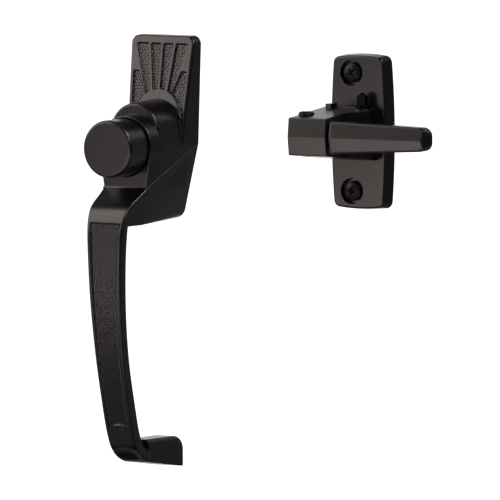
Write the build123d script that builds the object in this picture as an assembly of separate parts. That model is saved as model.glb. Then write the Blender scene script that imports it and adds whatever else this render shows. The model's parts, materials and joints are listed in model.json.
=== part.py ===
from build123d import *
import math
import os

os.makedirs("parts", exist_ok=True)

# All sizes are in millimetres. X is to the right, Y goes into the door and Z is up.
# The door face is the plane Y = 0 and the handle's spindle axis is the Y axis.

# Values that both units share
screw_spacing = 44.45
running_clearance = 0.05
free_clearance = 0.35
seat_gap = 0.05
overlap = 1.0  # how far joined forms reach into each other
beyond = 200.0  # longer than any piece, for cuts that pass right through

# Handle plate, a wedge that is thinner at its top
plate_top = 40.8
plate_half_top = 14.3
plate_half_axis = 12.8
plate_corner = 3.2
plate_draft = 2.2
plate_edge = 0.9
plate_skirt = 5.0
face_lean = 9.4
face_depth = 11.1

# Six ray panels that open from a plain sun disc behind the barrel
panel_depth = 0.8
panel_corner = 0.7
panel_top = 38.4
panel_foot = 18.0
rib_half = 0.5
rib_spread = 0.4
inner_ray_top = 5.1
inner_ray_foot = 2.3
outer_ray_top = 11.5
outer_ray_foot = 5.4
side_ray_top = 27.9
side_ray_low = 9.5
side_ray_edge = 12.0
side_ray_width = 2.6
side_ray_low_edge = 11.2
side_ray_low_width = 3.2
sun_radius = 9.6
sun_height = 11.3

# Barrel of the button: a bell-shaped root, then a collar with an arched top and a square lower end
arch_height = 5.7
arch_radius = 11.4
arch_front_radius = 10.5
arch_front = 25.0
arch_edge = 0.8
barrel_root = 5.0
barrel_inset = 0.45
barrel_spread = 0.5
barrel_radius = 12.2
collar_step = 0.25
collar_draft = 2.0
collar_edge = 0.5
barrel_front = 31.4
barrel_low = 15.3
barrel_low_half = 9.7

# Push button with its rod, spring and ring
button_radius = 10.85
button_front = 43.9
button_wall = 1.8
button_face = 2.6
button_edge = 1.1
button_guide = 9.0
button_post_radius = 4.6
web_front = 13.0
web_thickness = 3.0
rod_radius = 3.0
rod_grip = 10.0
rod_reach = 13.5
rod_chamfer = 0.6
spring_wire = 0.55
spring_radius = 6.9
spring_turns = 5.0
spring_seat = 0.15
ring_thickness = 0.8
ring_groove = 0.7
ring_width = 2.0

# Lower block, grip and foot of the handle
block_low = 29.0
block_rear_half = 5.9
block_rear_rise = 0.5
block_front_half = 9.95
block_front_low_half = 8.1
block_corner = 4.8
block_front_corner = 0.4
grip_front = 46.6
grip_crown = 42.0
grip_radius = 215.0
shoulder_front = 41.4
shoulder_low = 21.3
grip_bend_radius = 15.2
grip_bend_rise = 13.0
grip_thickness = 4.7
grip_thickening = 0.8
grip_half_low = 5.9
grip_edge = 0.8
grip_panel_top = 27.0
grip_panel_rise = 15.2
grip_panel_arch = 5.6
grip_panel_arch_rise = 2.3
grip_panel_border = 1.5
grip_panel_depth = 0.7
scoop_radius = 20.0
scoop_depth = 1.0
foot_low = 122.0
foot_height = 11.4
foot_flat = 3.0
foot_half_front = 5.5
foot_half_rear = 6.3
foot_corner = 5.0
foot_edge = 2.4
sole_slope = 0.12
instep_drop = 4.6
foot_hole_rise = 4.6
foot_hole_depth = 11.0

# Back of the handle
post_radius = 4.3
tapped_radius = 1.75
upper_hole_depth = 5.2
lower_hole_depth = 13.0
pocket_wall = 2.5
face_wall = 2.0
bore_wall = 1.5
rear_bore_step = 2.0
back_rib_half = 1.2
core_front = 37.0
core_rear = 16.0
core_top = 19.5

# Place of the latch beside the handle
latch_x = 84.8
latch_z = 7.0

# Latch plate
base_half_height = 29.3
base_half_mid = 12.55
base_half_end = 11.3
base_arch = 0.9
base_centre = 2.9
base_depth = 6.0
base_corner = 3.0
base_draft = 5.0
base_edge = 0.8
base_pocket = 2.6
base_pocket_wall = 2.5
base_pocket_end = 3.5
base_post_wall = 1.2
spindle_hole_radius = 4.5
counterbore_radius = 4.9
counterbore_depth = 2.3
screw_radius = 2.05
screw_neck = 1.75
screw_clearance = 0.25
head_radius = 3.75
head_height = 2.7
screw_length = 20.0
screw_chamfer = 0.5

# Ears and front bridge of the latch, measured from the lever's middle height
lever_height = -0.6
ear_left = -12.2
ear_right = 4.8
ear_flare = 11.0
ear_flare_front = 12.0
ear_neck = 16.5
ear_root_half = 9.8
ear_front_half = 7.05
ear_gap_half = 4.6
ear_edge = 0.5
bridge_front = 32.0
bridge_thickness = 3.3
roof_rise = 0.8
lug_left = 2.2
lug_width = 2.4
lug_depth = 2.4
lug_rise = 1.3
stop_height = 1.3
stop_left = -1.0
stop_depth = 2.9
stop_gap = 0.1

# Lever on its pivot pin
pin_x = -9.2
pin_y = -23.1
pin_radius = 1.6
pin_head_radius = 3.0
pin_head_height = 1.5
pin_head_sink = 0.35
pin_tail_radius = 2.5
pin_tail_height = 0.9
pin_tail_sink = 1.1
pin_head_clearance = 0.3
lever_clearance = 0.3
knuckle_radius = 3.6
lever_tip = 49.2
lever_tip_corner = 3.9
lever_tip_round = 3.4
lever_half_root = 6.4
lever_tip_up = 5.0
lever_tip_down = 3.8
lever_depth_root = 6.4
lever_depth_tip = 4.8
lever_wall = 2.0
lever_core_start = 19.0
lever_core_end = 4.0
lever_gap = 1.3
lever_edge = 0.7
arm_rear = -18.8
web_reach = 17.0
web_root = 9.0
tongue_half = 3.2
tongue_tip = -21.0
tongue_rear = -9.6
tongue_tip_depth = 2.8
tongue_neck = -14.4
heel_rear = -12.0
heel_left = -6.0
coil_wire = 0.42
coil_radius = 2.55
coil_turns = 3.0
coil_top_drop = 0.3
coil_gap = 0.3
spring_leg = 4.5
spring_arm = 6.5

# Lock knob on the upper ear
lock_x = 7.0
lock_y = -9.5
lock_shaft_radius = 1.8
lock_disc_radius = 2.7
lock_disc_height = 1.4
lock_disc_edge = 0.3
lock_fin_width = 3.6
lock_fin_height = 4.5
lock_fin_point = 1.4
lock_fin_thickness = 1.9
lock_cam_reach = 4.8
lock_cam_width = 2.6
lock_cam_drop = 3.0
lock_pad = 0.5
lock_groove = 0.5
lock_ring_radius = 3.0
washer_thickness = 0.4
washer_radius = 3.1
washer_clearance = 0.1

upright = (Align.CENTER, Align.CENTER, Align.MIN)


def along_y(radius, start, end, x=0.0, z=0.0):
    return Plane((x, start, z), z_dir=(0, 1, 0)) * Cylinder(radius, end - start, align=upright)


def along_z(radius, start, end, x=0.0, y=0.0):
    return Pos(x, y, start) * Cylinder(radius, end - start, align=upright)


def block(x0, x1, y0, y1, z0, z1):
    return Pos(x0, y0, z0) * Box(x1 - x0, y1 - y0, z1 - z0, align=(Align.MIN,) * 3)


def polygon(*points):
    return Polygon(*points, align=None)


def both_sides(points):
    return list(points) + [(-x, z) for x, z in reversed(points)]


def retaining_ring(inner, outer, thickness):
    ring = Circle(outer) - Circle(inner) - Pos(0, outer) * Rectangle(inner * 1.5, outer * 2)
    return extrude(ring, amount=thickness)


# Handle plate with its ray panels
lean = math.radians(face_lean)
face_plane = Plane((0, -face_depth, 0), x_dir=(1, 0, 0), z_dir=(0, -math.cos(lean), math.sin(lean)))
plate_sketch = polygon(*both_sides([
    (plate_half_axis - plate_skirt / 4, -plate_skirt),
    (plate_half_axis, 0),
    (plate_half_top, plate_top),
]))
plate_sketch = fillet(plate_sketch.vertices().group_by(Axis.Y)[-1], plate_corner)
plate = extrude(Plane.XZ * plate_sketch, amount=1.3 * face_depth, taper=plate_draft)
plate -= face_plane * Box(beyond, beyond, beyond, align=upright)
plate_front = plate.faces().filter_by(face_plane)[0]
plate = fillet(plate_front.edges().filter_by(lambda e: e.center().Z > plate_edge), plate_edge)

outer_ray_start = inner_ray_top + 2 * rib_half
outer_ray_foot_start = inner_ray_foot + 2 * rib_half + rib_spread
inner_panel = [
    (rib_half, panel_top), (inner_ray_top, panel_top), (inner_ray_foot, panel_foot), (rib_half, panel_foot),
]
outer_panel = [
    (outer_ray_start, panel_top), (outer_ray_top, panel_top), (outer_ray_foot, panel_foot),
    (outer_ray_foot_start, panel_foot),
]
side_panel = [
    (side_ray_edge - side_ray_width, side_ray_top), (side_ray_edge, side_ray_top),
    (side_ray_low_edge, side_ray_low), (side_ray_low_edge - side_ray_low_width, side_ray_low + rib_half),
    (outer_ray_foot, panel_foot),
]
panels = Sketch()
for points in (inner_panel, outer_panel, side_panel):
    panel = polygon(*points)
    panel = fillet(panel.vertices().group_by(Axis.Y)[-1], panel_corner)
    panels += panel
    panels += mirror(panel, about=Plane.YZ)
panels -= Pos(0, sun_height) * Circle(sun_radius)
plate -= extrude(face_plane.offset(-panel_depth) * panels, amount=face_depth, dir=face_plane.z_dir)


def tombstone(y, radius, low_half):
    lower = polygon((-radius, 0), (-low_half, -barrel_low), (low_half, -barrel_low), (radius, 0))
    return Plane.XZ.offset(y) * (Circle(radius) + lower)


def bell(y, radius, half, low_half):
    reach = math.hypot(half, arch_height)
    angle = math.atan2(-arch_height, half) + math.acos(radius / reach)
    touch = (radius * math.cos(angle), arch_height + radius * math.sin(angle))
    outline = polygon(*both_sides([(low_half, -barrel_low), (half, 0), touch]))
    return Plane.XZ.offset(y) * (outline + Pos(0, arch_height) * Circle(radius))


bell_rear = bell(barrel_root, arch_radius, plate_half_axis - barrel_inset, barrel_low_half + barrel_spread)
bell_front = bell(arch_front, arch_front_radius, barrel_radius - collar_step, barrel_low_half)
barrel = loft([bell_rear, bell_front], ruled=True)
arch_rim = barrel.faces().sort_by(Axis.Y)[0].edges().sort_by(Axis.Z)[-1]
barrel = fillet(arch_rim, arch_edge)
collar_sketch = tombstone(arch_front, barrel_radius, barrel_low_half)
collar = extrude(collar_sketch, amount=barrel_front - arch_front, taper=collar_draft)
collar_rim = collar.faces().sort_by(Axis.Y)[0].edges().filter_by(lambda e: e.center().Z > -0.9 * barrel_low)
collar = fillet(collar_rim, collar_edge)

# Grip, drawn as a side view that is trimmed by its front view
grip_bend = foot_low - grip_bend_rise
foot_top = foot_low - foot_height
centre_y = grip_radius - grip_front


def grip_line(z, inset=0.0):
    radius = grip_radius - inset
    return centre_y - math.sqrt(radius**2 - (z + grip_crown) ** 2)


def grip_height(share):
    return -grip_crown - share * (grip_bend - grip_crown)


def grip_point(share):
    return Vector(grip_line(grip_height(share)), grip_height(share))


def inner_point(share):
    thickness = grip_thickness + grip_thickening * share**2
    return Vector(grip_line(grip_height(share), thickness), grip_height(share))


bend_angle = math.asin((grip_bend - grip_crown) / grip_radius)
bend_start = grip_point(1.0)
bend_centre = bend_start + Vector(math.cos(bend_angle), math.sin(bend_angle)) * grip_bend_radius
sole_angle = math.radians(270) - math.atan(sole_slope)


def bend_point(share, radius=grip_bend_radius):
    angle = math.pi + bend_angle + share * (sole_angle - math.pi - bend_angle)
    return bend_centre + Vector(math.cos(angle), math.sin(angle)) * radius


def shoulder_point(share):
    z = -grip_crown + share * (grip_crown - shoulder_low)
    return Vector(grip_line(z) + shoulder_drop * share**5, z)


brow = Vector(-barrel_front, -barrel_low)
shoulder_drop = -shoulder_front - grip_line(-shoulder_low)
shoulder = shoulder_point(1.0)
slope = shoulder - brow
bend_end = bend_point(1.0)
front_points = [brow, brow + slope * 0.5, shoulder, shoulder_point(0.8), shoulder_point(0.5)]
front_points += [grip_point(share) for share in (0.0, 0.2, 0.4, 0.6, 0.8)]
front_points += [bend_point(share) for share in (0.0, 0.25, 0.5, 0.75, 1.0)]
inner_low = Vector(grip_line(-foot_top, grip_thickness + grip_thickening), -foot_top)
inner_points = [inner_point(share) for share in (0.85, 0.6, 0.4, 0.2, 0.0)]
inner_top = Vector(grip_line(-block_low, grip_thickness), -block_low)
instep = Vector(bend_end.X, -foot_top - instep_drop)
instep_mid = Vector(inner_low.X + 0.35 * (instep.X - inner_low.X), -foot_top - 0.7 * instep_drop)
heel = Vector(-barrel_front, -block_low)
grip_side = make_face([
    Spline(*front_points, tangents=[slope, Vector(1.0, -sole_slope)]),
    Line(bend_end, instep),
    Spline(instep, instep_mid, inner_low, *inner_points, inner_top),
    Polyline(inner_top, heel, brow),
])
grip = extrude(Plane.YZ.offset(-beyond / 2) * grip_side, amount=beyond, dir=(1, 0, 0))


def grip_outline(inset):
    side = [(block_front_half, -barrel_low)]
    for share in (0.0, 0.25, 0.5, 0.75, 1.0):
        half = grip_half_low + (block_front_low_half - grip_half_low) * (1 - share) ** 2
        side.append((half, -block_low - share * (grip_bend - block_low)))
    side.append((grip_half_low, -foot_low - foot_height))
    right = Spline(*[(x - inset, z) for x, z in side])
    left = Spline(*[(inset - x, z) for x, z in side])
    return make_face([right, left, Line(right @ 0, left @ 0), Line(right @ 1, left @ 1)])


grip &= extrude(Plane.XZ * grip_outline(0.0), amount=beyond, dir=(0, -1, 0))
side_edges = grip.edges().filter_by(lambda e: abs((e @ 0.5).X) > grip_half_low / 2)
grip = fillet(side_edges.sort_by(SortBy.LENGTH)[-4:], grip_edge)
scoop = bend_point(0.5, grip_bend_radius + scoop_radius - scoop_depth)
grip -= Pos(0, scoop.X, scoop.Y) * Sphere(scoop_radius)

# Lower block between the door and the grip, rounded below where it meets the door
rear_sketch = polygon(*both_sides([(block_rear_half, block_rear_rise - block_low), (plate_half_axis, 0)]))
rear_sketch = fillet(rear_sketch.vertices().group_by(Axis.Y)[0], block_corner)
block_height = block_low - barrel_low
band = Pos(0, -barrel_low - block_height / 2) * Rectangle(beyond, block_height)
front_sketch = grip_outline(0.0) & band
front_sketch = fillet(front_sketch.vertices().group_by(Axis.Y)[0], block_front_corner)
lower_block = loft([Plane.XZ * rear_sketch, Plane.XZ.offset(barrel_front) * front_sketch], ruled=True)

# Shallow panel along the front of the grip, arched at its lower end
panel_low = foot_low - grip_panel_rise


def panel_point(z):
    return (grip_line(z, grip_panel_depth), z)


panel_side = make_face([
    ThreePointArc(panel_point(-grip_panel_top), panel_point(grip_height(0.4)), panel_point(-panel_low)),
    Polyline(
        panel_point(-panel_low), (-1.5 * grip_front, -panel_low), (-1.5 * grip_front, -grip_panel_top),
        panel_point(-grip_panel_top),
    ),
])
grip_panel = extrude(Plane.YZ.offset(-beyond / 2) * panel_side, amount=beyond, dir=(1, 0, 0))
grip_panel &= extrude(Plane.XZ * grip_outline(grip_panel_border), amount=beyond, dir=(0, -1, 0))
grip_panel -= along_y(grip_panel_arch, -beyond, 0, z=grip_panel_arch_rise - panel_low - grip_panel_arch)

# Foot behind the lower end of the grip
foot_front = instep.X - overlap
foot_sole = bend_end.Y - sole_slope * (foot_front - bend_end.X)
foot_side = polygon(
    (foot_front, -foot_top), (0, -foot_top), (0, -foot_low), (-foot_flat, -foot_low), (foot_front, foot_sole)
)
foot_side = fillet(foot_side.vertices().sort_by(Axis.X)[-2:].sort_by(Axis.Y)[-1], foot_corner)
foot = extrude(Plane.YZ * foot_side, amount=beyond, both=True)
foot_plan = polygon(
    (-foot_half_front, foot_front), (foot_half_front, foot_front), (foot_half_rear, 0), (-foot_half_rear, 0)
)
foot &= extrude(foot_plan, amount=beyond, both=True)
top_edges = foot.edges().filter_by(
    lambda e: e.center().Z > -foot_top - 0.9 * foot_corner
    and abs(e.center().X) > 0.6 * foot_half_front
    and e.center().Y > foot_front + overlap
)
foot = fillet(top_edges, foot_edge)

handle = plate + barrel + collar + lower_block + grip + foot
handle -= grip_panel

# Bore of the button, the web that guides the rod, and the back of the casting
bore_radius = button_radius + free_clearance
web_rear = web_front - web_thickness
screw_heights = (-screw_spacing / 2, screw_spacing / 2)
handle -= along_y(bore_radius, -beyond, -web_front)
handle -= along_y(rod_radius + running_clearance, -beyond, beyond)
handle -= along_y(bore_radius - rear_bore_step, -web_rear, beyond)

pocket_sketch = polygon(*both_sides([
    (plate_half_axis - pocket_wall, 0), (plate_half_top - pocket_wall, plate_top - pocket_wall)
]))
pocket = extrude(Plane.XZ * pocket_sketch, amount=beyond, both=True)
pocket -= face_plane.offset(-panel_depth - face_wall) * Box(beyond, beyond, 2 * beyond, align=upright)
pocket -= along_y(bore_radius + bore_wall, -beyond, beyond)
pocket -= along_y(post_radius, -beyond, beyond, z=screw_spacing / 2)
pocket -= block(-back_rib_half, back_rib_half, -beyond, beyond, 0, beyond)
handle -= pocket
for depth, height in zip((lower_hole_depth, upper_hole_depth), screw_heights):
    handle -= along_y(tapped_radius, -depth, overlap, z=height)
handle -= along_y(tapped_radius, -foot_hole_depth, overlap, z=foot_hole_rise - foot_low)
core_half = block_front_low_half - pocket_wall
handle -= block(-core_half, core_half, -core_front, -core_rear, -block_low - overlap, -core_top)
handle_casting = handle.clean()

# Push button, a cup with a post for the rod
button_rear = -barrel_front + button_guide
button_floor = -button_front + button_face
push_button = along_y(button_radius, -button_front, button_rear)
push_button = fillet(push_button.edges().sort_by(Axis.Y)[0], button_edge)
cup = along_y(button_radius - button_wall, button_floor, button_rear + overlap)
cup -= along_y(button_post_radius, -button_front, button_floor + rod_grip)
push_button -= cup
push_button -= along_y(rod_radius, button_floor, beyond)

ring_start = -web_rear + seat_gap
ring_groove_cut = along_y(rod_radius + overlap, ring_start - seat_gap, ring_start + ring_thickness + seat_gap)
ring_groove_cut -= along_y(rod_radius - ring_groove, -beyond, beyond)
plunger_rod = along_y(rod_radius, button_floor, rod_reach)
plunger_rod = chamfer(plunger_rod.edges().sort_by(Axis.Y)[-1], rod_chamfer)
plunger_rod -= ring_groove_cut
plunger_clip = Plane((0, ring_start, 0), x_dir=(0, 0, 1), z_dir=(0, 1, 0)) * retaining_ring(
    rod_radius - ring_groove + seat_gap, rod_radius + ring_width, ring_thickness
)


def wire_along(path, wire):
    return sweep(Plane(path @ 0, z_dir=path % 0) * RegularPolygon(wire, 8), path=path, is_frenet=True)


spring_start = button_floor + spring_wire + spring_seat
spring_length = -web_front - spring_wire - spring_seat - spring_start
spring_path = Helix(pitch=spring_length / spring_turns, height=spring_length, radius=spring_radius)
button_spring = Plane((0, spring_start, 0), z_dir=(0, 1, 0)) * wire_along(spring_path, spring_wire)


# Latch base, drawn round its own spindle axis and moved into place at the end
def base_arc(*points):
    return ThreePointArc(*[(base_centre + x, z) for x, z in points])


base_end = base_half_height - base_arch
base_sketch = make_face([
    base_arc((base_half_end, -base_end), (base_half_mid, 0), (base_half_end, base_end)),
    base_arc((base_half_end, base_end), (0, base_half_height), (-base_half_end, base_end)),
    base_arc((-base_half_end, base_end), (-base_half_mid, 0), (-base_half_end, -base_end)),
    base_arc((-base_half_end, -base_end), (0, -base_half_height), (base_half_end, -base_end)),
])
base_sketch = fillet(base_sketch.vertices(), base_corner)
base = extrude(Plane.XZ * base_sketch, amount=base_depth, taper=base_draft)
base = fillet(base.faces().sort_by(Axis.Y)[0].edges(), base_edge)

ear_front = roof_rise - bridge_front
ear_side = polygon(
    (-overlap, lever_height - ear_root_half), (-overlap, lever_height + ear_root_half),
    (-base_depth, lever_height + ear_root_half), (ear_front, lever_height + ear_front_half),
    (-bridge_front, lever_height), (ear_front, lever_height - ear_front_half),
    (-base_depth, lever_height - ear_root_half),
)
ears = extrude(Plane.YZ * ear_side, amount=beyond, both=True)
ear_plan = polygon(
    (ear_left, -bridge_front - overlap), (ear_right, -bridge_front - overlap), (ear_right, -ear_neck),
    (ear_flare, -ear_flare_front), (ear_flare, -overlap), (ear_left, -overlap),
)
ears &= extrude(ear_plan, amount=beyond, both=True)
bridge_edges = ears.edges().filter_by(
    lambda e: e.center().Y < -ear_neck and abs(e.center().Z - lever_height) > ear_front_half / 4
)
ears = fillet(bridge_edges, ear_edge)
gap_floor = lever_height - ear_gap_half
gap_roof = lever_height + ear_gap_half
bridge_rear = bridge_thickness - bridge_front
ears -= block(-beyond, beyond, bridge_rear, -base_depth, gap_floor, gap_roof)
base += ears

# Lug at the left root of the upper ear, stop for the lever on the lower ear, and a flat pad for the lock
lug_x = ear_left + lug_left
lug_top = lever_height + ear_root_half + lug_rise
base += block(lug_x, lug_x + lug_width, -base_depth - lug_depth, -overlap, gap_roof + overlap, lug_top)
stop_front = arm_rear + stop_gap
stop_right = ear_right - stop_gap
stop_top = gap_floor + stop_height
base += block(stop_left, stop_right, stop_front, stop_front + stop_depth, gap_floor - overlap, stop_top)
pad_top = lever_height + ear_root_half - seat_gap
base += along_z(lock_disc_radius + lock_pad, gap_roof + overlap, pad_top, lock_x, lock_y)

# Holes of the base
base -= along_y(spindle_hole_radius, -base_depth - base_edge, overlap)
for height in screw_heights:
    base -= along_y(screw_radius + screw_clearance, -base_depth - overlap, overlap, z=height)
    base -= along_y(counterbore_radius, -base_depth - overlap, counterbore_depth - base_depth, z=height)
ear_slope = (ear_root_half - ear_front_half) / (-base_depth - ear_front)
ear_at_pin = ear_front_half + ear_slope * (pin_y - ear_front)
head_seat = lever_height + ear_at_pin - pin_head_sink
tail_seat = lever_height - ear_at_pin + pin_tail_sink
base -= along_z(pin_radius, -beyond, beyond, pin_x, pin_y)
base -= along_z(pin_head_radius + pin_head_clearance, head_seat, beyond, pin_x, pin_y)
base -= along_z(pin_tail_radius + pin_head_clearance, -beyond, tail_seat, pin_x, pin_y)
base -= along_z(lock_shaft_radius + running_clearance, gap_roof - overlap, beyond, lock_x, lock_y)
pocket_half = base_half_end - base_pocket_wall
pocket_end = base_half_height - base_pocket_end
base_pockets = block(
    base_centre - pocket_half, base_centre + pocket_half, -base_pocket, overlap, -pocket_end, pocket_end
)
base_pockets -= block(
    -beyond, beyond, -beyond, beyond, lever_height - ear_root_half, lever_height + ear_root_half
)
for height in screw_heights:
    base_pockets -= along_y(counterbore_radius + base_post_wall, -beyond, beyond, z=height)
latch_base = base - base_pockets

# Lever: the handle part outside the bridge, then the arm, heel and tongue between the ears
lever_start = ear_right - lever_gap
swing_radius = math.hypot(ear_right + lever_gap - pin_x, -bridge_front - pin_y)
lever_rear_root = lever_depth_root - bridge_front
lever_plan = polygon(
    (lever_start, -bridge_front), (lever_tip, -bridge_front), (lever_tip, lever_depth_tip - bridge_front),
    (lever_start, lever_rear_root),
)
lever_plan -= Pos(pin_x, pin_y) * Circle(swing_radius)
tip_corners = lever_plan.vertices().group_by(Axis.X)[-1].sort_by(Axis.Y)
lever_plan = fillet(tip_corners[0], lever_tip_round)
tip_corners = lever_plan.vertices().group_by(Axis.X)[-1].sort_by(Axis.Y)
lever_plan = fillet(tip_corners[-1], lever_depth_tip - lever_tip_round - overlap)
lever_arm = extrude(lever_plan, amount=beyond, both=True)


def lever_face(inset):
    return polygon(
        (0, lever_height - lever_half_root + inset), (lever_tip, lever_height - lever_tip_down + inset),
        (lever_tip, lever_height + lever_tip_up - inset), (0, lever_height + lever_half_root - inset),
    )


lever_front = lever_face(0.0)
lever_front = fillet(lever_front.vertices().group_by(Axis.X)[-1], lever_tip_corner)
lever_arm &= extrude(Plane.XZ * lever_front, amount=beyond, both=True)
roof_half = 2 * ear_front_half
roof_back = 2 * roof_rise - bridge_front
roof = polygon(
    (0.0, lever_height - roof_half), (0.0, lever_height + roof_half), (roof_back, lever_height + roof_half),
    (-bridge_front, lever_height), (roof_back, lever_height - roof_half),
)
lever_arm &= extrude(Plane.YZ * roof, amount=beyond, both=True)
lever_long_edges = lever_arm.edges().filter_by(
    lambda e: e.length > lever_tip / 2 and e.center().Y < lever_wall - bridge_front
    and abs(e.center().Z - lever_height) > lever_half_root / 2
)
lever_arm = fillet(lever_long_edges, lever_edge)
lever_core = block(
    lever_core_start, lever_tip - lever_core_end, lever_wall - bridge_front, beyond, -beyond, beyond
)
lever_arm -= lever_core & extrude(Plane.XZ * lever_face(lever_wall), amount=beyond, both=True)

arm_plan = polygon(
    (pin_x, pin_y - 0.6 * pin_radius), (pin_x + 0.8 * knuckle_radius, pin_y - 0.8 * pin_radius),
    (ear_right, pin_y + pin_radius / 2), (ear_right + 2.5 * lever_gap, pin_y + pin_radius / 4),
    (ear_right + 2.3 * lever_gap, lever_rear_root - overlap), (web_reach, lever_rear_root - overlap),
    (web_root, arm_rear), (pin_x + knuckle_radius / 2, arm_rear),
)
arm_low = gap_floor + lever_clearance
arm_high = gap_roof - lever_clearance
arm = extrude(Pos(0, 0, arm_low) * arm_plan, amount=arm_high - arm_low)
tongue_plan = polygon(
    (pin_x + 0.8 * knuckle_radius, pin_y), (0, arm_rear - overlap), (0, heel_rear), (heel_left, heel_rear),
    (heel_left - 0.6 * (tongue_rear - heel_rear), tongue_rear), (tongue_tip, tongue_rear),
    (tongue_tip, tongue_rear - tongue_tip_depth), (tongue_neck, arm_rear + overlap),
    (pin_x - knuckle_radius, pin_y),
)
tongue = extrude(Pos(0, 0, lever_height - tongue_half) * tongue_plan, amount=2 * tongue_half)
coil_top = lever_height - coil_top_drop
lever_root = arm + tongue
lever_root -= along_z(knuckle_radius + free_clearance, -beyond, coil_top, pin_x, pin_y)
lever_root += along_z(knuckle_radius, coil_top, arm_high, pin_x, pin_y)
lever_root -= along_z(pin_radius + running_clearance, -beyond, beyond, pin_x, pin_y)
latch_lever = lever_arm + lever_root

# Pivot pin with a domed head above and a peened tail below
pin_low = tail_seat - pin_tail_height
pin_head = along_z(pin_head_radius, head_seat, head_seat + pin_head_height, pin_x, pin_y)
pin_head = fillet(pin_head.edges().sort_by(Axis.Z)[-1], 0.8 * pin_head_height)
pin_tail = along_z(pin_tail_radius, pin_low, tail_seat, pin_x, pin_y)
pin_tail = fillet(pin_tail.edges().sort_by(Axis.Z)[0], 0.7 * pin_tail_height)
pivot_pin = along_z(pin_radius, pin_low, head_seat + pin_head_height / 2, pin_x, pin_y) + pin_head + pin_tail

# Torsion spring: the lower leg comes forward and lies along the bridge, the upper leg lies along the arm
coil_low = gap_floor + coil_gap + coil_wire
coil_high = coil_top - coil_gap - coil_wire
arm_angle = math.atan2(1.3 * pin_radius, ear_right - pin_x - 0.8 * knuckle_radius)
coil_turn = coil_turns - 0.25 + arm_angle / math.tau
spiral = Helix(pitch=(coil_high - coil_low) / coil_turn, height=coil_high - coil_low, radius=coil_radius)
spiral = Pos(pin_x, pin_y, coil_low) * spiral
elbow = (spiral @ 0) + Vector(0, bridge_rear + coil_wire + 2 * seat_gap - pin_y, 0)
leg_end = elbow + Vector(spring_leg, 0, 0)
arm_end = (spiral @ 1) + (spiral % 1) * spring_arm
lever_spring = wire_along(spiral, coil_wire)
for start, end in ((elbow, spiral @ 0), (elbow, leg_end), (spiral @ 1, arm_end)):
    lever_spring += wire_along(Line(start, end), coil_wire)
lever_spring += Pos(elbow) * Sphere(coil_wire)

# Lock knob: disc and fin above the ear, shaft through it, cam in front of the spindle hole
knob_seat = pad_top + seat_gap
disc_top = knob_seat + lock_disc_height
lock_low = lever_height - lock_cam_drop
ring_low = gap_roof - washer_thickness - ring_thickness - 3 * seat_gap
lock_knob = along_z(lock_disc_radius, knob_seat, disc_top, lock_x, lock_y)
lock_knob = chamfer(lock_knob.edges().sort_by(Axis.Z)[-1], lock_disc_edge)
fin_half = lock_fin_width / 2
fin_shoulder = disc_top + lock_fin_height - lock_fin_point
fin = polygon(
    (-fin_half, disc_top - lock_disc_edge), (fin_half, disc_top - lock_disc_edge), (fin_half, fin_shoulder),
    (0, disc_top + lock_fin_height), (-fin_half, fin_shoulder),
)
fin_plane = Plane((lock_x, lock_y, 0), x_dir=(1, 0, 0), z_dir=(0, -1, 0))
lock_knob += extrude(fin_plane * fin, amount=lock_fin_thickness / 2, both=True)
lock_knob += along_z(lock_shaft_radius, lock_low, disc_top - lock_disc_edge, lock_x, lock_y)
cam_half = lock_cam_width / 2
lock_knob += block(
    lock_x - cam_half, lock_x + cam_half, lock_y - lock_cam_reach, lock_y, lock_low, ring_low - lock_groove
)
groove = along_z(lock_disc_radius, ring_low - seat_gap, ring_low + ring_thickness + seat_gap, lock_x, lock_y)
lock_knob -= groove - along_z(lock_shaft_radius - lock_groove, -beyond, beyond, lock_x, lock_y)
lock_clip = Pos(lock_x, lock_y, ring_low) * retaining_ring(
    lock_shaft_radius - lock_groove + seat_gap, lock_ring_radius, ring_thickness
)
washer_low = gap_roof - washer_thickness - seat_gap
lock_washer = along_z(washer_radius, washer_low, washer_low + washer_thickness, lock_x, lock_y)
lock_washer -= along_z(lock_shaft_radius + washer_clearance, -beyond, beyond, lock_x, lock_y)

# Two mounting screws with a reduced neck inside the plate, made as one group of separate solids
screws = []
for height in screw_heights:
    head_seat_y = counterbore_depth - base_depth
    head = along_y(head_radius, head_seat_y - head_height, head_seat_y, z=height)
    head = fillet(head.edges().sort_by(Axis.Y)[0], 0.6 * head_height)
    neck = along_y(screw_neck, head_seat_y - head_height / 2, overlap, z=height)
    thread = along_y(screw_radius, free_clearance, head_seat_y + screw_length, z=height)
    thread = chamfer(thread.edges().group_by(Axis.Y)[-1], screw_chamfer)
    screws.append(Pos(latch_x, 0, latch_z) * (head + neck + thread))
mounting_screws = Compound(children=screws)

handle_nodes = {
    "handle_casting": handle_casting,
    "push_button": push_button,
    "plunger_rod": plunger_rod,
    "plunger_clip": plunger_clip,
    "button_spring": button_spring,
    "mounting_screws": mounting_screws,
}
latch_nodes = {
    "latch_base": latch_base,
    "latch_lever": latch_lever,
    "pivot_pin": pivot_pin,
    "lever_spring": lever_spring,
    "lock_knob": lock_knob,
    "lock_clip": lock_clip,
    "lock_washer": lock_washer,
}
for name, shape in handle_nodes.items():
    export_step(shape, f"parts/{name}.step")
for name, shape in latch_nodes.items():
    export_step(Pos(latch_x, 0, latch_z) * shape, f"parts/{name}.step")
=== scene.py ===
import bpy
import json
import math
import random
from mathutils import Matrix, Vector, kdtree


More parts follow.
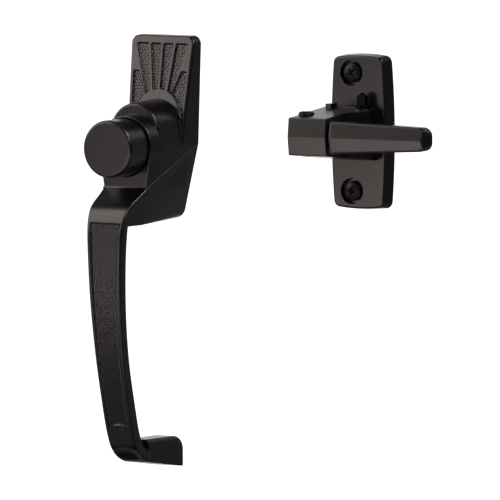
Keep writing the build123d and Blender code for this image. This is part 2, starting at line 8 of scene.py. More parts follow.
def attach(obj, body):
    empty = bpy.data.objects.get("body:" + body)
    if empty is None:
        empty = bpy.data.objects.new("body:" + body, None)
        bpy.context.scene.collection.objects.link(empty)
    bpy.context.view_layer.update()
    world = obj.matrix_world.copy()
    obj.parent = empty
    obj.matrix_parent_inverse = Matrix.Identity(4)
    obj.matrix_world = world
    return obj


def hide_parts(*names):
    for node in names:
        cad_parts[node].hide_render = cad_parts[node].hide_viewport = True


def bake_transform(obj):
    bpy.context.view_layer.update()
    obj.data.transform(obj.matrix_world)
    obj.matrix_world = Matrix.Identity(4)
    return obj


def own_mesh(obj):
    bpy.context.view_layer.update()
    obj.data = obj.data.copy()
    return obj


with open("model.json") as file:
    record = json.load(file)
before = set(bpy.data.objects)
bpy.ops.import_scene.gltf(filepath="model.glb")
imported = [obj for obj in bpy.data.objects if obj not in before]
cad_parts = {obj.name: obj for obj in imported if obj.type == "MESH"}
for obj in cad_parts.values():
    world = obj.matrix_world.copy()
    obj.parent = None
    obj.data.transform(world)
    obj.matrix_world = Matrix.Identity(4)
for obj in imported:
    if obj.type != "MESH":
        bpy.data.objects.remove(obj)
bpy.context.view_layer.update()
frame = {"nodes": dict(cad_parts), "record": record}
mm = 0.001
print("frame loaded:", len(frame["nodes"]), "nodes")


# sRGB hex colour to the linear values that sockets take
def linear(hexColour):
    channels = [int(hexColour[i:i + 2], 16) / 255 for i in (1, 3, 5)]
    return [c / 12.92 if c <= 0.04045 else ((c + 0.055) / 1.055) ** 2.4 for c in channels] + [1.0]


# An input that is given a socket is linked to it, any other is set
def addNode(tree, kind, settings=None, inputs=None):
    node = tree.nodes.new(kind)
    for name, value in (settings or {}).items():
        setattr(node, name, value)
    for name, value in (inputs or {}).items():
        if isinstance(value, bpy.types.NodeSocket):
            tree.links.new(value, node.inputs[name])
        else:
            node.inputs[name].default_value = value
    return node


def newMaterial(name):
    material = bpy.data.materials.new(name)
    material.use_nodes = True
    material.node_tree.nodes.clear()
    return material, material.node_tree


def closeMaterial(tree, shader):
    addNode(tree, "ShaderNodeOutputMaterial", inputs={"Surface": shader.outputs[0]})


def paint(obj, material):
    obj.data.materials.clear()
    obj.data.materials.append(material)


# Everything else is deselected first, because the loaded nodes come in selected
def only(obj):
    if bpy.context.mode != "OBJECT":
        bpy.ops.object.mode_set(mode="OBJECT")
    bpy.ops.object.select_all(action="DESELECT")
    obj.select_set(True)
    bpy.context.view_layer.objects.active = obj


def dropFaces(obj, unwanted):
    only(obj)
    bpy.ops.object.mode_set(mode="EDIT")
    bpy.ops.mesh.select_mode(type="FACE")
    bpy.ops.mesh.select_all(action="DESELECT")
    bpy.ops.object.mode_set(mode="OBJECT")
    for face in obj.data.polygons:
        face.select = unwanted(face)
    bpy.ops.object.mode_set(mode="EDIT")
    bpy.ops.mesh.delete(type="FACE")
    bpy.ops.object.mode_set(mode="OBJECT")


def applyModifier(obj, kind, **settings):
    only(obj)
    bpy.ops.object.modifier_add(type=kind)
    modifier = obj.modifiers[-1]
    for name, value in settings.items():
        setattr(modifier, name, value)
    bpy.ops.object.modifier_apply(modifier=modifier.name)


def settle(obj, name):
    only(obj)
    bpy.ops.object.transform_apply(location=True, rotation=True, scale=True)
    obj.name = name
    return obj


def smooth(obj, smoothDeg):
    only(obj)
    bpy.ops.object.shade_smooth_by_angle(angle=math.radians(smoothDeg))
    return obj


# A loose copy of a node, to cut a new piece from
def copyNode(node):
    copied = frame["nodes"][node].copy()
    copied.data = copied.data.copy()
    copied.parent = None
    bpy.context.scene.collection.objects.link(copied)
    return copied


# Sprayed satin enamel on die-cast zinc: near black, faintly warm, soft even sheen, fine orange peel.
# Paint rounds the edges off, most on the lever and least on the fine forms
satinEnamel = {
    "deep": "#0e0d0d", "light": "#131111", "ior": 1.5, "roughness": (0.21, 0.27),
    "cloudMm": 14.0, "cloudDetail": 3.0,
    "peelMm": 0.7, "peelDetail": 2.0, "peelFineness": 0.4, "peelDepthMm": 0.006, "peelStrength": 0.5,
    "castEdgeMm": 0.3, "leverEdgeMm": 0.9, "fineEdgeMm": 0.05, "edgeSamples": 6,
}


def makeSatinEnamel(name, edgeMm):
    values = satinEnamel
    low, high = values["roughness"]
    material, tree = newMaterial(name)
    place = addNode(tree, "ShaderNodeTexCoord").outputs["Object"]
    cloud = addNode(tree, "ShaderNodeTexNoise", inputs={
        "Vector": place, "Scale": 1 / (values["cloudMm"] * mm), "Detail": values["cloudDetail"]})
    peel = addNode(tree, "ShaderNodeTexNoise", inputs={
        "Vector": place, "Scale": 1 / (values["peelMm"] * mm), "Detail": values["peelDetail"],
        "Roughness": values["peelFineness"]})
    colour = addNode(tree, "ShaderNodeMix", {"data_type": "RGBA"}, {
        "Factor": cloud.outputs["Fac"], "A": linear(values["deep"]), "B": linear(values["light"])})
    gloss = addNode(tree, "ShaderNodeMapRange", inputs={
        "Value": cloud.outputs["Fac"], "To Min": low, "To Max": high})
    edge = addNode(tree, "ShaderNodeBevel", {"samples": values["edgeSamples"]}, {"Radius": edgeMm * mm})
    bump = addNode(tree, "ShaderNodeBump", inputs={
        "Height": peel.outputs["Fac"], "Strength": values["peelStrength"],
        "Distance": values["peelDepthMm"] * mm, "Normal": edge.outputs["Normal"]})
    shader = addNode(tree, "ShaderNodeBsdfPrincipled", inputs={
        "Base Color": colour.outputs["Result"], "Roughness": gloss.outputs["Result"],
        "Normal": bump.outputs["Normal"], "IOR": values["ior"]})
    closeMaterial(tree, shader)
    return material


# Black-oxide steel: a porous film, so darker than the enamel and less mirror-like.
# The lock knob gets an almost matt copy with a darker colour: painted shade for the dark surroundings that
# its fin mirrors
oxideSteel = {
    "colour": "#121112", "specular": 0.22, "knobShadeColour": "#0b0a0b", "knobShadeSpecular": 0.07,
    "metallic": 0.15, "roughness": (0.24, 0.42),
    "filmMm": 1.2, "filmDetail": 4.0, "filmDepthMm": 0.004, "filmStrength": 0.3,
}


def makeOxideSteel(name, colour, specular):
    values = oxideSteel
    low, high = values["roughness"]
    material, tree = newMaterial(name)
    place = addNode(tree, "ShaderNodeTexCoord").outputs["Object"]
    film = addNode(tree, "ShaderNodeTexNoise", inputs={
        "Vector": place, "Scale": 1 / (values["filmMm"] * mm), "Detail": values["filmDetail"]})
    gloss = addNode(tree, "ShaderNodeMapRange", inputs={
        "Value": film.outputs["Fac"], "To Min": low, "To Max": high})
    bump = addNode(tree, "ShaderNodeBump", inputs={
        "Height": film.outputs["Fac"], "Strength": values["filmStrength"],
        "Distance": values["filmDepthMm"] * mm})
    shader = addNode(tree, "ShaderNodeBsdfPrincipled", inputs={
        "Base Color": linear(colour), "Metallic": values["metallic"], "Specular IOR Level": specular,
        "Roughness": gloss.outputs["Result"], "Normal": bump.outputs["Normal"]})
    closeMaterial(tree, shader)
    return material


# Bright zinc plate over turned steel: pale, with lathe lines too fine to show at their real pitch,
# so drawn coarser
zincPlate = {
    "pale": "#c9c8c2", "dull": "#a9a8a0", "metallic": 1.0, "roughness": (0.24, 0.4),
    "spotMm": 2.5, "spotDetail": 4.0,
    "lineMm": 0.35, "lineWobble": 1.5, "lineDetail": 2.0, "lineDepthMm": 0.01, "lineStrength": 0.25,
    "waveRate": 20,     # a wave texture's own factor on its scale
}


def makeZincPlate():
    values = zincPlate
    low, high = values["roughness"]
    material, tree = newMaterial("bright_zinc_plated_steel")
    place = addNode(tree, "ShaderNodeTexCoord").outputs["Object"]
    spots = addNode(tree, "ShaderNodeTexNoise", inputs={
        "Vector": place, "Scale": 1 / (values["spotMm"] * mm), "Detail": values["spotDetail"]})
    lines = addNode(tree, "ShaderNodeTexWave", {"bands_direction": "Y"}, {
        "Vector": place, "Scale": 1 / (values["waveRate"] * values["lineMm"] * mm),
        "Distortion": values["lineWobble"], "Detail": values["lineDetail"]})
    colour = addNode(tree, "ShaderNodeMix", {"data_type": "RGBA"}, {
        "Factor": spots.outputs["Fac"], "A": linear(values["pale"]), "B": linear(values["dull"])})
    gloss = addNode(tree, "ShaderNodeMapRange", inputs={
        "Value": spots.outputs["Fac"], "To Min": low, "To Max": high})
    bump = addNode(tree, "ShaderNodeBump", inputs={
        "Height": lines.outputs["Fac"], "Strength": values["lineStrength"],
        "Distance": values["lineDepthMm"] * mm})
    shader = addNode(tree, "ShaderNodeBsdfPrincipled", inputs={
        "Base Color": colour.outputs["Result"], "Metallic": values["metallic"],
        "Roughness": gloss.outputs["Result"], "Normal": bump.outputs["Normal"]})
    closeMaterial(tree, shader)
    return material


# Drawn spring wire: straw grey, with a slight die-drawn grain
springWire = {
    "pale": "#8f8d88", "dark": "#6e6c68", "metallic": 1.0, "roughness": 0.33,
    "grainMm": 0.5, "grainDetail": 3.0, "grainDepthMm": 0.005, "grainStrength": 0.2,
}


def makeSpringWire():
    values = springWire
    material, tree = newMaterial("drawn_spring_wire")
    place = addNode(tree, "ShaderNodeTexCoord").outputs["Object"]
    grain = addNode(tree, "ShaderNodeTexNoise", inputs={
        "Vector": place, "Scale": 1 / (values["grainMm"] * mm), "Detail": values["grainDetail"]})
    colour = addNode(tree, "ShaderNodeMix", {"data_type": "RGBA"}, {
        "Factor": grain.outputs["Fac"], "A": linear(values["pale"]), "B": linear(values["dark"])})
    bump = addNode(tree, "ShaderNodeBump", inputs={
        "Height": grain.outputs["Fac"], "Strength": values["grainStrength"],
        "Distance": values["grainDepthMm"] * mm})
    shader = addNode(tree, "ShaderNodeBsdfPrincipled", inputs={
        "Base Color": colour.outputs["Result"], "Metallic": values["metallic"],
        "Roughness": values["roughness"], "Normal": bump.outputs["Normal"]})
    closeMaterial(tree, shader)
    return material


enamel = makeSatinEnamel("satin_black_enamel_on_cast_zinc", satinEnamel["castEdgeMm"])
grainEnamel = makeSatinEnamel("satin_black_enamel_on_grained_zinc", satinEnamel["fineEdgeMm"])
leverEnamel = makeSatinEnamel("satin_black_enamel_on_cast_lever", satinEnamel["leverEdgeMm"])
filletEnamel = makeSatinEnamel("satin_black_enamel_in_cast_fillet", satinEnamel["fineEdgeMm"])
oxide = makeOxideSteel("black_oxide_steel", oxideSteel["colour"], oxideSteel["specular"])
# Darker, near-matt copy of the oxide steel for the lock knob: its colour and sheen are turned down as painted
# shade
shadedKnobOxide = makeOxideSteel("knob_oxide_steel_painted_shade", oxideSteel["knobShadeColour"], oxideSteel["knobShadeSpecular"])
zinc = makeZincPlate()
wire = makeSpringWire()
finishOf = {"black_paint": enamel, "dark_steel": oxide, "plated_steel": zinc, "spring_steel": wire}
for part in frame["record"]["subparts"]:
    paint(frame["nodes"][part["node"]], finishOf[part["material_slot"]])
paint(frame["nodes"]["latch_lever"], leverEnamel)
# The lock knob is painted darker than the screws and pin, as painted shade
paint(frame["nodes"]["lock_knob"], shadedKnobOxide)


# Cove between a recess floor and its walls: the floor's border is lifted, most at the wall itself
def raiseBorder(floor, values):
    uses = {}
    for face in floor.data.polygons:
        for key in face.edge_keys:
            uses[key] = uses.get(key, 0) + 1
    rim = sorted({corner for key, count in uses.items() if count == 1 for corner in key})
    tree = kdtree.KDTree(len(rim))
    for corner in rim:
        tree.insert(floor.data.vertices[corner].co, corner)
    tree.balance()
    group = floor.vertex_groups.new(name="border")
    for vertex in floor.data.vertices:
        near = 1 - tree.find(vertex.co)[2] / (values["coveMm"] * mm)
        if near > 0:
            group.add([vertex.index], near ** 2, "REPLACE")
    applyModifier(floor, "DISPLACE", direction="NORMAL", vertex_group="border", mid_level=0.0,
                  strength=values["coveRiseMm"] * mm)


# Pebbled skin: a low dome on every point of a slightly uneven lattice, raised along the floor's own normals
def raisePebbles(floor, values):
    spare = 3           # the lattice runs past the floor by this many
    pitch = values["pebbleMm"] * mm
    rowStep = pitch * math.sqrt(3) / 2
    chance = random.Random(values["seed"])
    places = [vertex.co for vertex in floor.data.vertices]
    left, low = min(place.x for place in places), min(place.z for place in places)
    columns = int((max(place.x for place in places) - left) / pitch) + spare
    rows = int((max(place.z for place in places) - low) / rowStep) + spare
    domes = kdtree.KDTree(columns * rows)
    for index in range(columns * rows):
        column, row = index % columns, index // columns
        astray = [chance.uniform(-values["uneven"], values["uneven"]) * pitch for _ in range(2)]
        along = (column - row % 2 / 2) * pitch
        domes.insert((left + along + astray[0], 0, low + row * rowStep + astray[1]), index)
    domes.balance()
    normals = [vertex.normal.copy() for vertex in floor.data.vertices]
    for vertex, normal in zip(floor.data.vertices, normals):
        away = domes.find((vertex.co.x, 0, vertex.co.z))[2] / (pitch / 2)
        vertex.co += normal * values["reliefMm"] * mm * max(0, 1 - away ** values["fullness"])


# Textured floor of a recess: a fine grid is pushed from in front onto the recess's own floor faces.
# What misses them is dropped, and the rest is coved at its border, then pebbled
floorGrid = {"standOffMm": 5.0, "missedMm": 0.1, "smoothDeg": 60}


def texturedFloor(name, node, onFloor, values):
    sheet = copyNode(node)
    dropFaces(sheet, lambda face: not onFloor(face))
    corners = [Vector(v.co) for v in sheet.data.vertices]
    lowest = Vector([min(c[i] for c in corners) for i in range(3)])
    highest = Vector([max(c[i] for c in corners) for i in range(3)])
    wide = highest.x - lowest.x
    tall = highest.z - lowest.z
    front = lowest.y - floorGrid["standOffMm"] * mm
    pitch = values["gridMm"] * mm
    bpy.ops.object.select_all(action="DESELECT")
    bpy.ops.mesh.primitive_grid_add(
        x_subdivisions=int(wide / pitch), y_subdivisions=int(tall / pitch), size=1.0,
        location=((lowest.x + highest.x) / 2, front, (lowest.z + highest.z) / 2),
        rotation=(math.pi / 2, 0, 0))
    floor = bpy.context.object
    floor.scale = (wide, tall, 1.0)
    settle(floor, name)
    applyModifier(floor, "SHRINKWRAP", target=sheet, wrap_method="PROJECT", use_project_y=True,
                  use_positive_direction=True, use_negative_direction=False)
    missed = [abs(v.co.y - front) < floorGrid["missedMm"] * mm for v in floor.data.vertices]
    dropFaces(floor, lambda face: any(missed[i] for i in face.vertices))
    bpy.data.objects.remove(sheet)
    raiseBorder(floor, values)
    raisePebbles(floor, values)
    applyModifier(floor, "SOLIDIFY", thickness=values["backingMm"] * mm, offset=-1.0)
    smooth(floor, floorGrid["smoothDeg"])
    paint(floor, grainEnamel)
    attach(floor, "frame")


# Hammered floors of the six ray panels; the plate leans back, so its face plane is given by a slope
rayPanels = {
    "leanDeg": 9.4, "faceDepthMm": 11.1, "panelDepthMm": 0.8, "nearMm": 0.02, "facingShare": 0.999,
    "gridMm": 0.13, "pebbleMm": 1.3, "reliefMm": 0.085, "fullness": 2.6, "uneven": 0.12, "seed": 4,
    "backingMm": 0.4, "coveMm": 0.55, "coveRiseMm": 0.5,
}


def onRayFloor(face):
    values = rayPanels
    lean = math.radians(values["leanDeg"])
    outward = Vector((0, -math.cos(lean), math.sin(lean)))
    depth = (Vector((0, -values["faceDepthMm"] * mm, 0)) - face.center).dot(outward)
    near = abs(depth - values["panelDepthMm"] * mm) < values["nearMm"] * mm
    return near and face.normal.dot(outward) > values["facingShare"]


texturedFloor("hammered_ray_panels", "handle_casting", onRayFloor, rayPanels)

# Leather-grained floor of the long grip panel, which follows a large arc in side view
gripPanel = {
    "radiusMm": 215.0, "frontMm": 46.6, "crownMm": 42.0, "panelDepthMm": 0.7, "nearMm": 0.03,
    "halfMm": 6.82, "endMm": 108.0,
    "gridMm": 0.16, "pebbleMm": 0.85, "reliefMm": 0.055, "fullness": 2.0, "uneven": 0.3, "seed": 9,
    "backingMm": 0.3, "coveMm": 0.7, "coveRiseMm": 0.5,
}


def onGripFloor(face):
    values = gripPanel
    centre = Vector((0, (values["radiusMm"] - values["frontMm"]) * mm, -values["crownMm"] * mm))
    away = face.center - centre
    radius = math.hypot(away.y, away.z)
    floorRadius = (values["radiusMm"] - values["panelDepthMm"]) * mm
    within = abs(face.center.x) < values["halfMm"] * mm and face.center.z > -values["endMm"] * mm
    return within and away.y < 0 and abs(radius - floorRadius) < values["nearMm"] * mm


texturedFloor("grained_grip_panel", "handle_casting", onGripFloor, gripPanel)

# Cast fillet in the corner between the barrel's foot and the slope below it, which catches a line of light
browFillet = {
    "radiusMm": 1.0, "frontMm": -31.4, "footMm": -15.3, "turnDeg": 59.0, "halfMm": 9.1,
    "steps": 10, "proudMm": 0.01, "backingMm": 0.3, "smoothDeg": 60,
}


def makeBrowFillet():
    values = browFillet
    turn = math.radians(values["turnDeg"])
    rise = values["radiusMm"] * math.tan(turn / 2)
    centre = Vector((0, values["frontMm"] - values["radiusMm"], values["footMm"] + rise))
    bpy.ops.object.select_all(action="DESELECT")
    bpy.ops.mesh.primitive_grid_add(x_subdivisions=1, y_subdivisions=values["steps"], size=1.0)
    fillet = settle(bpy.context.object, "brow_fillet")
    for vertex in fillet.data.vertices:
        angle = (0.5 - vertex.co.y) * turn      # from the barrel's face, at the grid's top, to the slope
        inward = Vector((0, math.cos(angle), -math.sin(angle))) * (values["radiusMm"] - values["proudMm"])
        vertex.co = (centre + inward + Vector((2 * values["halfMm"] * vertex.co.x, 0, 0))) * mm
    applyModifier(fillet, "SOLIDIFY", thickness=values["backingMm"] * mm, offset=-1.0)
    smooth(fillet, values["smoothDeg"])
    paint(fillet, filletEnamel)
    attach(fillet, "frame")


makeBrowFillet()
print("recess floors textured and brow fillet laid")


def closeEnds(obj):
    only(obj)
    bpy.ops.object.mode_set(mode="EDIT")
    bpy.ops.mesh.select_mode(type="EDGE")
    bpy.ops.mesh.select_all(action="DESELECT")
    bpy.ops.mesh.select_non_manifold()
    bpy.ops.mesh.fill_holes(sides=0)
    bpy.ops.mesh.select_all(action="SELECT")
    bpy.ops.mesh.normals_make_consistent(inside=False)
    bpy.ops.object.mode_set(mode="OBJECT")


def joinAll(pieces, name, smoothDeg=40):
    only(pieces[0])
    for piece in pieces[1:]:
        piece.select_set(True)
    if len(pieces) > 1:
        bpy.ops.object.join()
    return smooth(settle(bpy.context.object, name), smoothDeg)


def rod(start, end, radius, sides=16):
    run = Vector(end) - Vector(start)
    bpy.ops.mesh.primitive_cylinder_add(
        vertices=sides, radius=radius * mm, depth=run.length * mm, location=(Vector(start) + run / 2) * mm,
        rotation=run.to_track_quat("Z", "Y").to_euler())
    return settle(bpy.context.object, "rod")


def ball(centre, radius, segments=20):
    bpy.ops.mesh.primitive_uv_sphere_add(
        segments=segments, ring_count=segments // 2, radius=radius * mm, location=Vector(centre) * mm)
    return settle(bpy.context.object, "ball")


# Coil of round wire: a small circle wound up along an axis
def coil(axis, centre, radius, wireRadius, turns, height, steps, sides=12):
    turn = (0, 0, 0) if axis == "Y" else (math.pi / 2, 0, 0)
    bpy.ops.object.select_all(action="DESELECT")
    bpy.ops.mesh.primitive_circle_add(
        vertices=sides, radius=wireRadius * mm, location=(radius * mm, 0, 0), rotation=turn)
    wound = settle(bpy.context.object, "coil")
    applyModifier(wound, "SCREW", axis=axis, angle=turns * math.tau, screw_offset=height * mm, iterations=1,
                  steps=steps, render_steps=steps)
    closeEnds(wound)
    wound.location = Vector(centre) * mm
    return settle(wound, "coil")


# Pan-head screws in place of the plain CAD ones: the CAD heads and necks, domed and with a cross recess
# cut in, and a rolled thread on a core
panScrews = {
    "acrossMm": 84.8, "heightsMm": (-15.225, 29.225), "turnsDeg": (14, 58), "headFrontMm": -6.4,
    "domeMm": 7.6, "domeSegments": 96, "neckEndMm": 0.2, "weldMm": 0.03,
    "recessSpanMm": 5.2, "recessWidthMm": 1.25, "recessDepthMm": 2.1, "footSpan": 0.4, "footWidth": 0.7,
    "coreRadiusMm": 1.62, "coreStartMm": -1.0, "endMm": 16.3, "coreSides": 24,
    "endBevelMm": 0.4, "bevelSteps": 2,
    "threadRadiusMm": 2.05, "pitchMm": 0.794, "crestMm": 0.12, "rootMm": 0.66, "rootSinkMm": 0.1,
    "threadStartMm": 0.35, "threadShortMm": 0.5, "turnSteps": 24,
}


def recessWing(centre, turnDeg):
    values = panScrews
    bpy.ops.mesh.primitive_cube_add(size=1.0)
    wing = bpy.context.object
    for vertex in wing.data.vertices:
        if vertex.co.y > 0:
            vertex.co.x *= values["footSpan"]
            vertex.co.z *= values["footWidth"]
    wing.scale = (values["recessSpanMm"] * mm, 2 * values["recessDepthMm"] * mm, values["recessWidthMm"] * mm)
    wing.rotation_euler = (0, math.radians(turnDeg), 0)
    wing.location = Vector(centre) * mm
    return settle(wing, "recess_wing")


def cutBy(obj, cutter, operation="DIFFERENCE"):
    applyModifier(obj, "BOOLEAN", object=cutter, operation=operation, solver="EXACT")
    bpy.data.objects.remove(cutter)


def makeThread(height):
    values = panScrews
    bpy.ops.object.select_all(action="DESELECT")
    bpy.ops.mesh.primitive_plane_add(size=1.0)
    ridge = settle(bpy.context.object, "thread")
    for vertex in ridge.data.vertices:
        outer = vertex.co.x > 0
        half = (values["crestMm"] if outer else values["rootMm"]) / 2
        reach = values["threadRadiusMm"] if outer else values["coreRadiusMm"] - values["rootSinkMm"]
        vertex.co.x = reach * mm
        vertex.co.y = half * mm if vertex.co.y > 0 else -half * mm
    only(ridge)
    bpy.ops.object.mode_set(mode="EDIT")
    bpy.ops.mesh.select_all(action="SELECT")
    bpy.ops.mesh.delete(type="ONLY_FACE")
    bpy.ops.object.mode_set(mode="OBJECT")
    length = values["endMm"] - values["threadStartMm"] - values["rootMm"] - values["threadShortMm"]
    turns = length / values["pitchMm"]
    steps = int(values["turnSteps"] * turns)
    applyModifier(ridge, "SCREW", axis="Y", angle=turns * math.tau, screw_offset=length * mm, iterations=1,
                  steps=steps, render_steps=steps)
    closeEnds(ridge)
    first = values["threadStartMm"] + values["rootMm"] / 2
    ridge.location = Vector((values["acrossMm"], first, height)) * mm
    return settle(ridge, "thread")


def makeScrews():
    values = panScrews
    across = values["acrossMm"]
    crown = values["headFrontMm"] + values["domeMm"]
    heads = copyNode("mounting_screws")
    domes = [ball((across, crown, height), values["domeMm"], values["domeSegments"])
             for height in values["heightsMm"]]
    cutBy(heads, joinAll(domes, "head_domes"), "INTERSECT")
    pieces = [heads]
    for height, turnDeg in zip(values["heightsMm"], values["turnsDeg"]):
        centre = (across, values["headFrontMm"], height)
        cutBy(heads, recessWing(centre, turnDeg))
        cutBy(heads, recessWing(centre, turnDeg + 90))
        core = rod((across, values["coreStartMm"], height), (across, values["endMm"], height),
                   values["coreRadiusMm"], values["coreSides"])
        applyModifier(core, "BEVEL", width=values["endBevelMm"] * mm, segments=values["bevelSteps"])
        pieces += [core, makeThread(height)]
    dropFaces(heads, lambda face: face.center.y > values["neckEndMm"] * mm)
    applyModifier(heads, "WELD", merge_threshold=values["weldMm"] * mm)
    closeEnds(heads)
    screws = joinAll(pieces, "cross_recess_screws")
    paint(screws, oxide)
    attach(screws, "frame")
    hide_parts("mounting_screws")


makeScrews()

# Compression spring behind the button
pushSpring = {
    "startMm": -40.6, "lengthMm": 26.9, "radiusMm": 6.9, "wireMm": 0.55, "turns": 5.0, "steps": 200,
    "seatMm": -13.0, "travelMm": 6.0,
}


def makePushSpring():
    values = pushSpring
    spring = coil("Y", (0, values["startMm"], 0), values["radiusMm"], values["wireMm"], values["turns"],
                  values["lengthMm"], values["steps"])
    joinAll([spring], "push_spring")
    paint(spring, wire)
    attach(spring, "frame")
    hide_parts("button_spring")
    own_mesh(spring)


makePushSpring()

# Torsion spring round the lever's pin: the lower leg lies on the bridge, the upper leg leaves the coil's top
# end
leverSpring = {
    "pinMm": (75.6, -23.1), "lowMm": 2.52, "highMm": 5.38, "radiusMm": 2.55, "wireMm": 0.42, "turns": 2.779,
    "steps": 120, "bridgeMm": -28.18, "legMm": 4.5, "armMm": 6.5, "armRise": 0.06,
}


def makeLeverSpring():
    values = leverSpring
    x, y = values["pinMm"]
    radius = values["radiusMm"]
    wireRadius = values["wireMm"]
    last = values["turns"] * math.tau
    foot = (x + radius, values["bridgeMm"], values["lowMm"])
    footEnd = (foot[0] + values["legMm"], foot[1], foot[2])
    tip = Vector((x + radius * math.cos(last), y + radius * math.sin(last), values["highMm"]))
    tipEnd = tip + Vector((-math.sin(last), math.cos(last), values["armRise"])) * values["armMm"]
    pieces = [
        coil("Z", (x, y, values["lowMm"]), radius, wireRadius, values["turns"],
             values["highMm"] - values["lowMm"], values["steps"]),
        rod((foot[0], y, foot[2]), foot, wireRadius),
        rod(foot, footEnd, wireRadius),
        rod(tip, tipEnd, wireRadius),
        ball(foot, wireRadius),
        ball(footEnd, wireRadius),
        ball(tipEnd, wireRadius),
    ]
    spring = joinAll(pieces, "lever_return_spring")
    paint(spring, wire)
    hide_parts("lever_spring")
    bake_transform(spring)


makeLeverSpring()
print("screws and springs modelled")

# Camera at the photograph's angle: a long lens to the right of the handle and slightly above
camera = {
    "azimuthDeg": 32.5, "elevationDeg": 4.2, "rollDeg": -0.3, "distanceM": 8.0, "clipEndM": 50.0,
    "alongRightMm": 30.0, "alongUpMm": -40.8, "pixelsPerMm": 2.65, "imagePixels": 500, "sensorMm": 36.0,
}


def placeCamera():
    values = camera
    turn = math.radians(values["azimuthDeg"])
    lift = math.radians(values["elevationDeg"])
    right = Vector((math.cos(turn), math.sin(turn), 0))
    away = Vector((-math.sin(turn) * math.cos(lift), math.cos(turn) * math.cos(lift), -math.sin(lift)))
    up = right.cross(away)
    target = right * values["alongRightMm"] * mm + up * values["alongUpMm"] * mm
    bpy.ops.object.camera_add(location=target - away * values["distanceM"])
    view = bpy.context.object
    view.rotation_euler = away.to_track_quat("-Z", "Y").to_euler()
    view.rotation_euler.rotate_axis("Z", math.radians(values["rollDeg"]))
    focalPixels = values["pixelsPerMm"] * values["distanceM"] / mm
    view.data.lens = focalPixels / values["imagePixels"] * values["sensorMm"]
    view.data.sensor_width = values["sensorMm"]
    view.data.clip_end = values["clipEndM"]
    bpy.context.scene.camera = view


placeCamera()

# Studio: a pale floor that is white far off, and a world that is white at the horizon and dim overhead
studio = {
    "floorMm": -260.0, "floorSizeM": 40.0, "floorColour": "#e6e6e6",
    "nearMm": 150.0, "nearGlow": 0.40, "farMm": 900.0, "farGlow": 1.0,
    "horizon": "#ffffff", "horizonGlow": 1.0, "whiteUntil": 0.20, "overhead": "#68686a", "dimFrom": 0.42,
    "ambientColour": "#ffffff", "ambient": 0.40, "boxColour": "#fff0ea",
}

# Lights and cards stand at an azimuth, seen from above, a distance along it, an offset across it and a height
frontDeg = -32.5        # about where the front faces mirror to
sideDeg = 140.0         # about where the right-hand faces mirror to

# Two warm soft boxes in front, a tall one for the handle and a small one for the latch
softBoxes = {
    "handle_key_box": {
        "azimuthDeg": frontDeg, "distanceMm": 600, "acrossMm": -190, "heightMm": 560, "sizeMm": (460, 1000),
        "radiance": 3.0},
    "latch_key_box": {
        "azimuthDeg": frontDeg, "distanceMm": 600, "acrossMm": 212, "heightMm": -125, "sizeMm": (340, 190),
        "radiance": 2.6},
}

# Cards that only reflections see, for the black casting to mirror: grey ones in front, bright ones
# for the edges, a pale one for the barrel and darker flags at the sides and below
plainCard = {"acrossMm": 0, "flat": False, "strength": 1.0}
greyCards = {
    "front_card": {
        "azimuthDeg": frontDeg, "distanceMm": 640, "acrossMm": 100, "heightMm": -60, "sizeMm": (1200, 400),
        "colour": "#968e8c"},
    "front_floor_card": {
        "azimuthDeg": frontDeg, "distanceMm": 340, "heightMm": -257, "sizeMm": (700, 560), "flat": True,
        "colour": "#8b8584"},
    "under_flag": {
        "azimuthDeg": frontDeg, "distanceMm": 85, "heightMm": -256, "sizeMm": (320, 100), "flat": True,
        "colour": "#1e1e20"},
    "edge_card": {
        "azimuthDeg": 62.0, "distanceMm": 700, "heightMm": 650, "sizeMm": (340, 700),
        "colour": "#ffffff", "strength": 5.0},
    "rear_edge_card": {
        "azimuthDeg": 112.0, "distanceMm": 560, "heightMm": 620, "sizeMm": (260, 300),
        "colour": "#ffffff", "strength": 11.0},
    "barrel_card": {
        "azimuthDeg": 160.0, "distanceMm": 380, "heightMm": 205, "sizeMm": (230, 100),
        "colour": "#c8c8cc"},
    "camera_side_flag": {
        "azimuthDeg": 45.0, "distanceMm": 760, "heightMm": 120, "sizeMm": (1250, 800),
        "colour": "#464648"},
    "side_flag": {
        "azimuthDeg": sideDeg, "distanceMm": 420, "heightMm": 70, "sizeMm": (1000, 650),
        "colour": "#727278"},
    "latch_side_flag": {
        "azimuthDeg": sideDeg, "distanceMm": 405, "acrossMm": -300, "heightMm": 60, "sizeMm": (600, 620),
        "colour": "#49494d"},
    "rear_floor_flag": {
        "azimuthDeg": sideDeg, "distanceMm": 220, "heightMm": -258, "sizeMm": (1000, 560), "flat": True,
        "colour": "#616164"},
}


# One shader for what the camera and reflections see, and another for what lights the object
def lightPathPick(tree, seen, lit):
    rays = addNode(tree, "ShaderNodeLightPath")
    direct = addNode(tree, "ShaderNodeMath", {"operation": "MAXIMUM"}, {
        0: rays.outputs["Is Camera Ray"], 1: rays.outputs["Is Glossy Ray"]})
    through = addNode(tree, "ShaderNodeMath", {"operation": "MAXIMUM"}, {
        0: direct.outputs[0], 1: rays.outputs["Is Transmission Ray"]})
    return addNode(tree, "ShaderNodeMixShader", inputs={
        "Fac": through.outputs[0], 1: lit.outputs[0], 2: seen.outputs[0]})


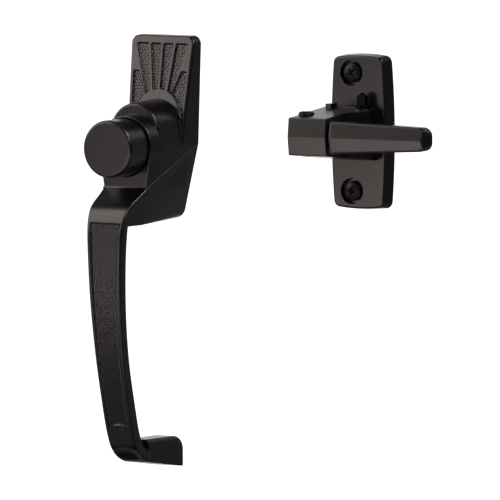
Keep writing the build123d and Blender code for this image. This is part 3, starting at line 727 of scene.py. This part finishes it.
def makeWorld():
    world = bpy.data.worlds.new("studio")
    bpy.context.scene.world = world
    world.use_nodes = True
    tree = world.node_tree
    tree.nodes.clear()
    place = addNode(tree, "ShaderNodeTexCoord").outputs["Generated"]
    height = addNode(tree, "ShaderNodeSeparateXYZ", inputs={"Vector": place}).outputs["Z"]
    rise = addNode(tree, "ShaderNodeMapRange", {"interpolation_type": "SMOOTHSTEP"}, {
        "Value": height, "From Min": studio["whiteUntil"], "From Max": studio["dimFrom"]})
    sky = addNode(tree, "ShaderNodeMix", {"data_type": "RGBA"}, {
        "Factor": rise.outputs["Result"], "A": linear(studio["horizon"]), "B": linear(studio["overhead"])})
    seen = addNode(tree, "ShaderNodeBackground", inputs={
        "Color": sky.outputs["Result"], "Strength": studio["horizonGlow"]})
    lit = addNode(tree, "ShaderNodeBackground", inputs={
        "Color": linear(studio["ambientColour"]), "Strength": studio["ambient"]})
    addNode(tree, "ShaderNodeOutputWorld", inputs={"Surface": lightPathPick(tree, seen, lit).outputs[0]})


def makeFloor():
    bpy.ops.object.select_all(action="DESELECT")
    bpy.ops.mesh.primitive_plane_add(size=studio["floorSizeM"], location=(0, 0, studio["floorMm"] * mm))
    floor = bpy.context.object
    floor.name = "studio_floor"
    material, tree = newMaterial("pale_paper_sweep")
    place = addNode(tree, "ShaderNodeTexCoord").outputs["Object"]
    away = addNode(tree, "ShaderNodeVectorMath", {"operation": "LENGTH"}, {"Vector": place}).outputs["Value"]
    glow = addNode(tree, "ShaderNodeMapRange", {"interpolation_type": "SMOOTHSTEP"}, {
        "Value": away, "From Min": studio["nearMm"] * mm, "From Max": studio["farMm"] * mm,
        "To Min": studio["nearGlow"], "To Max": studio["farGlow"]})
    lit = addNode(tree, "ShaderNodeBsdfDiffuse", inputs={"Color": linear(studio["floorColour"])})
    bright = addNode(tree, "ShaderNodeEmission", inputs={"Strength": glow.outputs["Result"]})
    seen = addNode(tree, "ShaderNodeAddShader", inputs={0: lit.outputs[0], 1: bright.outputs[0]})
    closeMaterial(tree, lightPathPick(tree, seen, lit))
    paint(floor, material)


def studioFacing(values):
    turn = math.radians(values["azimuthDeg"])
    return Vector((math.sin(turn), -math.cos(turn), 0))


def studioPlace(values):
    toward = studioFacing(values)
    across = Vector((-toward.y, toward.x, 0))
    place = toward * values["distanceMm"] * mm + across * values["acrossMm"] * mm
    return place + Vector((0, 0, values["heightMm"] * mm))


def addSoftBox(name, values):
    aim = -studioFacing(values)
    bpy.ops.object.light_add(
        type="AREA", location=studioPlace(values), rotation=aim.to_track_quat("-Z", "Y").to_euler())
    lamp = bpy.context.object
    lamp.name = name
    lamp.data.shape = "RECTANGLE"
    lamp.data.size = values["sizeMm"][0] * mm
    lamp.data.size_y = values["sizeMm"][1] * mm
    lamp.data.color = linear(studio["boxColour"])[:3]
    lamp.data.energy = values["radiance"] * math.pi * lamp.data.size * lamp.data.size_y


def addCard(name, values):
    stand = 0 if values["flat"] else math.pi / 2
    bpy.ops.object.select_all(action="DESELECT")
    bpy.ops.mesh.primitive_plane_add(
        size=1.0, location=studioPlace(values), rotation=(stand, 0, math.radians(values["azimuthDeg"])))
    card = bpy.context.object
    card.scale = (values["sizeMm"][0] * mm, values["sizeMm"][1] * mm, 1.0)
    settle(card, name)
    material, tree = newMaterial("grey_card_" + name)
    glow = addNode(tree, "ShaderNodeEmission", inputs={
        "Color": linear(values["colour"]), "Strength": values["strength"]})
    closeMaterial(tree, glow)
    paint(card, material)
    card.visible_camera = False
    card.visible_diffuse = False
    card.visible_transmission = False
    card.visible_shadow = False


makeWorld()
makeFloor()
for name, values in softBoxes.items():
    addSoftBox(name, values)
for name, values in greyCards.items():
    addCard(name, {**plainCard, **values})
bpy.context.scene.view_settings.view_transform = "Standard"
print("studio and camera placed")
